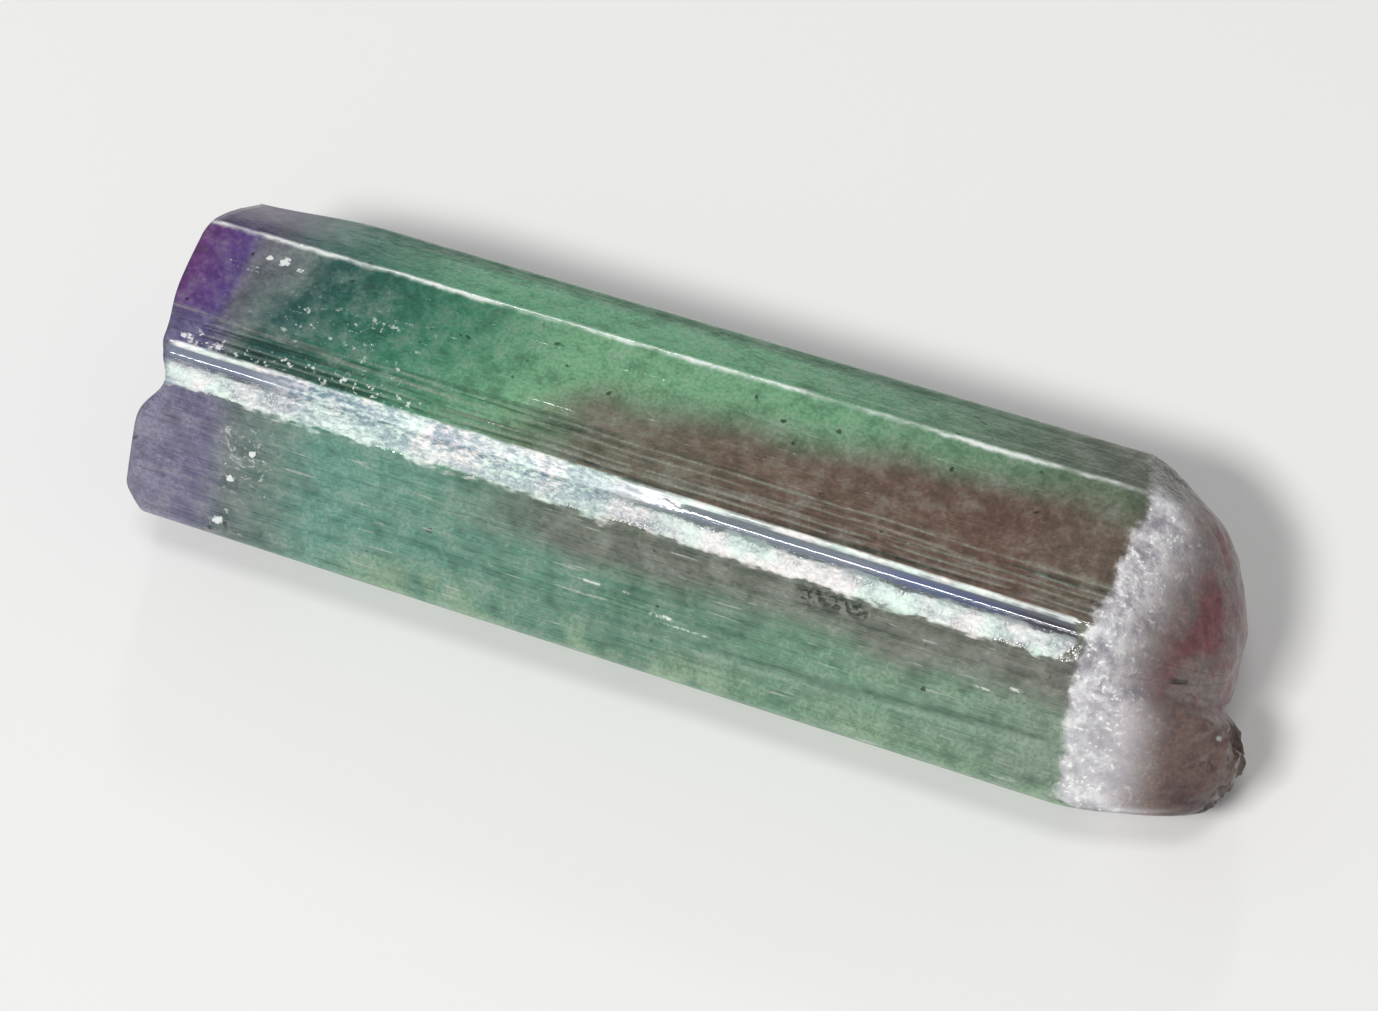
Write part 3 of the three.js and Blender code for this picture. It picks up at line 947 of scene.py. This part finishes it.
def relief_normal(n):
    """The fine relief that the mesh is too coarse for: growth lines, unevenness and sugar."""
    on_ridge = n.between(n.around, RIDGE - 0.4, RIDGE + 0.4, 0.1)
    on_edge = n.either(on_ridge, n.between(n.around, -0.6, 0.6, 0.1))
    in_front = n.smooth(n.around, RIDGE, RIDGE - 0.8, 0.2, 1.0)
    ribbed = n.times(n.streaks, n.shaft, n.less(on_edge), in_front, 0.025)
    on_belt = n.times(n.smooth(n.rise, -0.1, 0.3), n.smooth(n.rise, 2.6, 1.0))
    uneven = n.times(n.blotches, n.smooth(on_belt, 0.0, 1.0, 0.02, 0.07))
    elsewhere = n.either(n.times(n.on_tip, 0.03), n.times(n.between(n.around, -0.7, 0.1, 0.1), 0.08))
    sugary = n.times(n.grain, n.either(elsewhere, n.times(on_belt, 0.06)))
    return n.bump(n.plus(n.plus(ribbed, uneven), sugary), MM)


def tourmaline_material():
    """Part-clear, with its colours on the surface: duller and milkier where it is frosted or worn."""
    n = CrystalNodes("tourmaline")
    belt, band = bevel_frost(n), band_frost(n)
    # The ridge line is partly rubbed wear and partly painted highlight.
    crumbs, ridge = crumb_frost(n), ridge_wear_and_highlight(n)
    frosted = n.either(n.either(belt, crumbs), band)
    satin = n.either(n.times(underside(n), 0.8), n.either(n.times(ridge, 0.4), n.times(n.on_tip, 0.6)))
    milky = n.either(n.times(frosted, 0.75), n.either(underside(n), n.times(ridge, 0.8)))
    n.fill(n.shader, {
        "Base Color": surface_colour(n, belt, band, crumbs, ridge),
        "Roughness": n.smooth(n.either(frosted, satin), 0.0, 1.0, *ROUGHNESS),
        "Transmission Weight": n.smooth(milky, 0.0, 1.0, *TRANSMISSION),
        "IOR": TOURMALINE_IOR,
        "Normal": relief_normal(n),
    })
    absorb = n.fill(n.new("VolumeAbsorption"), ABSORBED)
    n.link(absorb.outputs[0], n.output.inputs["Volume"])
    return n.material


def table_material():
    n = Nodes("pale table")
    n.fill(n.shader, {"Base Color": TABLE_WHITE, "Roughness": 0.9, "Specular IOR Level": 0.2})
    return n.material


# ---- What is sealed inside the crystal -----------------------------

# Millimetres from the left end, across (y) and up (z), each from its lowest to its highest.
TUBES = {
    "count": 16, "along": (11, 25), "y": (1.0, 5.6), "z": (6.2, 7.6),
    "length": (2.0, 8.0), "radius": (0.015, 0.035), "taper": 0.6,
}
GRAINS = {
    "count": 14, "along": (8, 28), "y": (2.2, 5.6), "z": (7.3, 7.75),
    "radius": (0.03, 0.08), "stretch": 1.6,
}
# The healed crack's droplets gather about a middle. Their sheet sinks by its slope to the right of
# its start and curves down on both sides of its crest, and they lie a little off it.
VEIL = {
    "count": 240, "middle": 6.2, "spread": 1.5, "along": (2.0, 10.5), "y": (1.9, 5.6),
    "height": 7.75, "slope": 0.18, "from": 4, "curve": 0.05, "crest": 3.5, "off": 0.06, "top": 7.8,
    "radius": (0.012, 0.05), "narrowing": (0.5, 1), "flatness": 0.35,
}


def sealed_piece(name, shapes, material):
    """One piece from a bmesh of many small closed shapes."""
    mesh = bpy.data.meshes.new(name)
    shapes.to_mesh(mesh)
    shapes.free()
    mesh.materials.append(material)
    piece = add_object(name, mesh)
    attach(piece, "root")


def inside(along, y, z, shift):
    """A place in the crystal's millimetres, in the frame's metres."""
    return Vector((along * MM, y * MM, z * MM)) + Vector(shift)


def somewhere(chance, limits, shift):
    """A random place between the limits of a kind of piece."""
    along, y, z = (chance.uniform(*limits[axis]) for axis in ("along", "y", "z"))
    return inside(along, y, z, shift)


def half_turned(chance):
    """Turned about the upright by a random part of a half turn."""
    return Matrix.Rotation(chance.uniform(0, math.pi), 4, "Z")


def make_growth_tubes(shift, material):
    """Hair-thin tubes parallel to the prism, grown in under the top and front faces."""
    chance = random.Random(11)
    shapes = bmesh.new()
    along_x = Matrix.Rotation(math.radians(90), 4, "Y")
    for _ in range(TUBES["count"]):
        length = chance.uniform(*TUBES["length"]) * MM
        middle = somewhere(chance, TUBES, shift)
        radius = chance.uniform(*TUBES["radius"]) * MM
        bmesh.ops.create_cone(
            shapes, cap_ends=True, segments=8, radius1=radius, radius2=radius * TUBES["taper"],
            depth=length, matrix=Matrix.Translation(middle) @ along_x,
        )
    sealed_piece("growth_tubes", shapes, material)


def make_veil(shift, material):
    """A healed crack: a gently curved sheet of tiny flat droplets near the left end."""
    chance = random.Random(5)
    shapes = bmesh.new()
    nearest, furthest = VEIL["along"]
    for _ in range(VEIL["count"]):
        along = chance.gauss(VEIL["middle"], VEIL["spread"])
        y = chance.uniform(*VEIL["y"])
        sunk = VEIL["slope"] * (along - VEIL["from"]) + VEIL["curve"] * (y - VEIL["crest"]) ** 2
        z = VEIL["height"] - sunk + chance.uniform(-VEIL["off"], VEIL["off"])
        radius = chance.uniform(*VEIL["radius"]) * MM * (1 + chance.random())
        narrow = radius * chance.uniform(*VEIL["narrowing"])
        flat = Matrix.Diagonal((radius, narrow, radius * VEIL["flatness"], 1))
        turned = half_turned(chance)
        middle = inside(min(max(along, nearest), furthest), y, min(z, VEIL["top"]), shift)
        place = Matrix.Translation(middle)
        bmesh.ops.create_icosphere(shapes, subdivisions=1, radius=1, matrix=place @ turned @ flat)
    sealed_piece("healed_crack", shapes, material)


def make_dark_grains(shift, material):
    """A few small dark crystals caught just under the top face."""
    chance = random.Random(3)
    shapes = bmesh.new()
    for _ in range(GRAINS["count"]):
        place = Matrix.Translation(somewhere(chance, GRAINS, shift))
        length, width, height = (chance.uniform(*GRAINS["radius"]) * MM for _ in range(3))
        shape = Matrix.Diagonal((length * GRAINS["stretch"], width, height, 1))
        turned = half_turned(chance)
        bmesh.ops.create_icosphere(shapes, subdivisions=1, radius=1, matrix=place @ turned @ shape)
    sealed_piece("dark_grains", shapes, material)


def fluid_material():
    """The pale, glassy filling of the tubes and droplets."""
    n = Nodes("sealed fluid")
    cloud = n.noise(n.object_position(), 4000, 2)
    tinted = n.blend(cloud, *FLUID_TINTS)
    n.fill(n.shader, {"Base Color": tinted, "Roughness": 0.2, "IOR": 1.33, "Transmission Weight": 0.3})
    return n.material


def grain_material():
    n = Nodes("dark grains")
    tint = n.noise(n.object_position(), 3000, 2)
    n.fill(n.shader, {"Base Color": n.blend(tint, *GRAIN_TINTS), "Roughness": 0.4})
    return n.material


def fill_crystal(shift):
    fluid = fluid_material()
    make_growth_tubes(shift, fluid)
    make_veil(shift, fluid)
    make_dark_grains(shift, grain_material())


# ---- The set -------------------------------------------------------

# Metres and degrees. The table lies a hair below the crystal.
TABLE_HALF = 1.5
TABLE_GAP = 0.00002
CAMERA = {"azimuth": 20, "elevation": 60, "distance": 0.1542, "lens": 135, "sensor": 36, "nearest": 0.001}
AIM = (-0.00060, -0.00060, 0.00511)
LIGHT_DISTANCE = 0.6
ROOM_COLOUR = (0.95, 0.97, 1.0, 1)
ROOM_STRENGTH = 0.265

# Each softbox: where it stands as azimuth and elevation, its width and height, and its radiance.
SOFTBOXES = {
    "key": ((-19, 53), (0.16, 0.085), 57),
    "top": ((10, 78), (0.14, 0.1), 16),
    "back": ((197, 38), (0.055, 0.055), 20),
}


def direction(azimuth, elevation):
    """Towards a place seen from the crystal: azimuth from the front (-Y) towards the tip (+X)."""
    a, e = math.radians(azimuth), math.radians(elevation)
    return Vector((math.sin(a) * math.cos(e), -math.cos(a) * math.cos(e), math.sin(e)))


def look_at(obj, place, target):
    obj.location = place
    obj.rotation_euler = (Vector(target) - Vector(place)).to_track_quat("-Z", "Y").to_euler()


def make_table():
    mesh = bpy.data.meshes.new("table")
    level = CAD_BOUNDS[0][2] - TABLE_GAP
    signs = ((-1, -1), (1, -1), (1, 1), (-1, 1))
    corners = [(x * TABLE_HALF, y * TABLE_HALF, level) for x, y in signs]
    mesh.from_pydata(corners, [], [(0, 1, 2, 3)])
    mesh.materials.append(table_material())
    table = add_object("table", mesh)


def make_softbox(name, towards, size, radiance):
    """A plain white panel that faces the crystal, as bright as radiance whatever its size."""
    light = bpy.data.lights.new(name, "AREA")
    light.shape = "RECTANGLE"
    light.size, light.size_y = size
    light.energy = radiance * math.pi * size[0] * size[1]
    look_at(add_object(name, light), direction(*towards) * LIGHT_DISTANCE, (0, 0, 0))


def make_camera():
    camera = bpy.data.cameras.new("camera")
    camera.lens = CAMERA["lens"]
    camera.sensor_width = CAMERA["sensor"]
    camera.clip_start = CAMERA["nearest"]
    view = add_object("camera", camera)
    toward = direction(CAMERA["azimuth"], CAMERA["elevation"])
    look_at(view, Vector(AIM) + toward * CAMERA["distance"], AIM)
    bpy.context.scene.camera = view


def make_world():
    world = bpy.data.worlds.new("room")
    bpy.context.scene.world = world
    world.use_nodes = True
    background = world.node_tree.nodes["Background"]
    background.inputs["Color"].default_value = ROOM_COLOUR
    background.inputs["Strength"].default_value = ROOM_STRENGTH


def light_the_set():
    make_world()
    for name, (towards, size, radiance) in SOFTBOXES.items():
        make_softbox(name, towards, size, radiance)
    bpy.context.scene.view_settings.view_transform = "Standard"


make_camera()
make_table()
light_the_set()
fill_crystal(make_crystal(tourmaline_material()))
